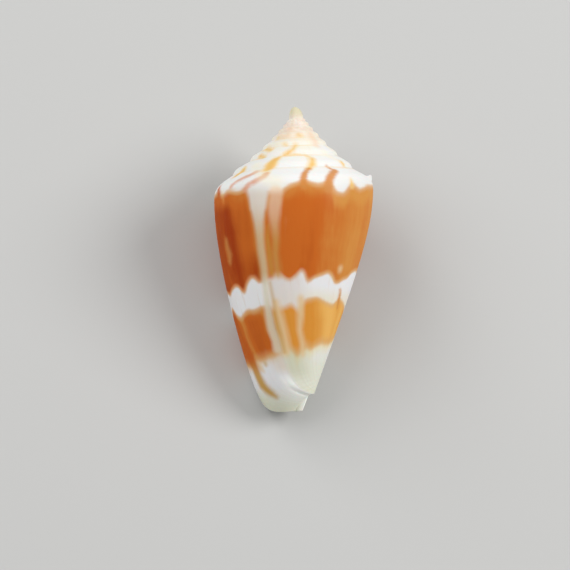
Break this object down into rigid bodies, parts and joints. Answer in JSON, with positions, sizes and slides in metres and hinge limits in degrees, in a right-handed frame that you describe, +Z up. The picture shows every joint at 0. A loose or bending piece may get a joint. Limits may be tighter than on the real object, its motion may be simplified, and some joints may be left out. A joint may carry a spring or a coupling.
{
  "type": "cone shell",
  "caption": "Slender cone-shaped seashell with a pointed stepped spire, a rounded shoulder, a tapering side and a long narrow aperture, lying on its underside.",
  "frame": {"origin": "middle of the bounding box, on the surface that the shell rests on", "axes": "+Y towards the apex, +Z up from the surface to the back of the shell, +X to the side away from the lip"},
  "size_m": [0.0234, 0.0442, 0.0219],
  "materials": {
    "shell": "satin"
  },
  "bodies": {
    "root": {"cone_shell": "shell"}
  },
  "joints": []
}
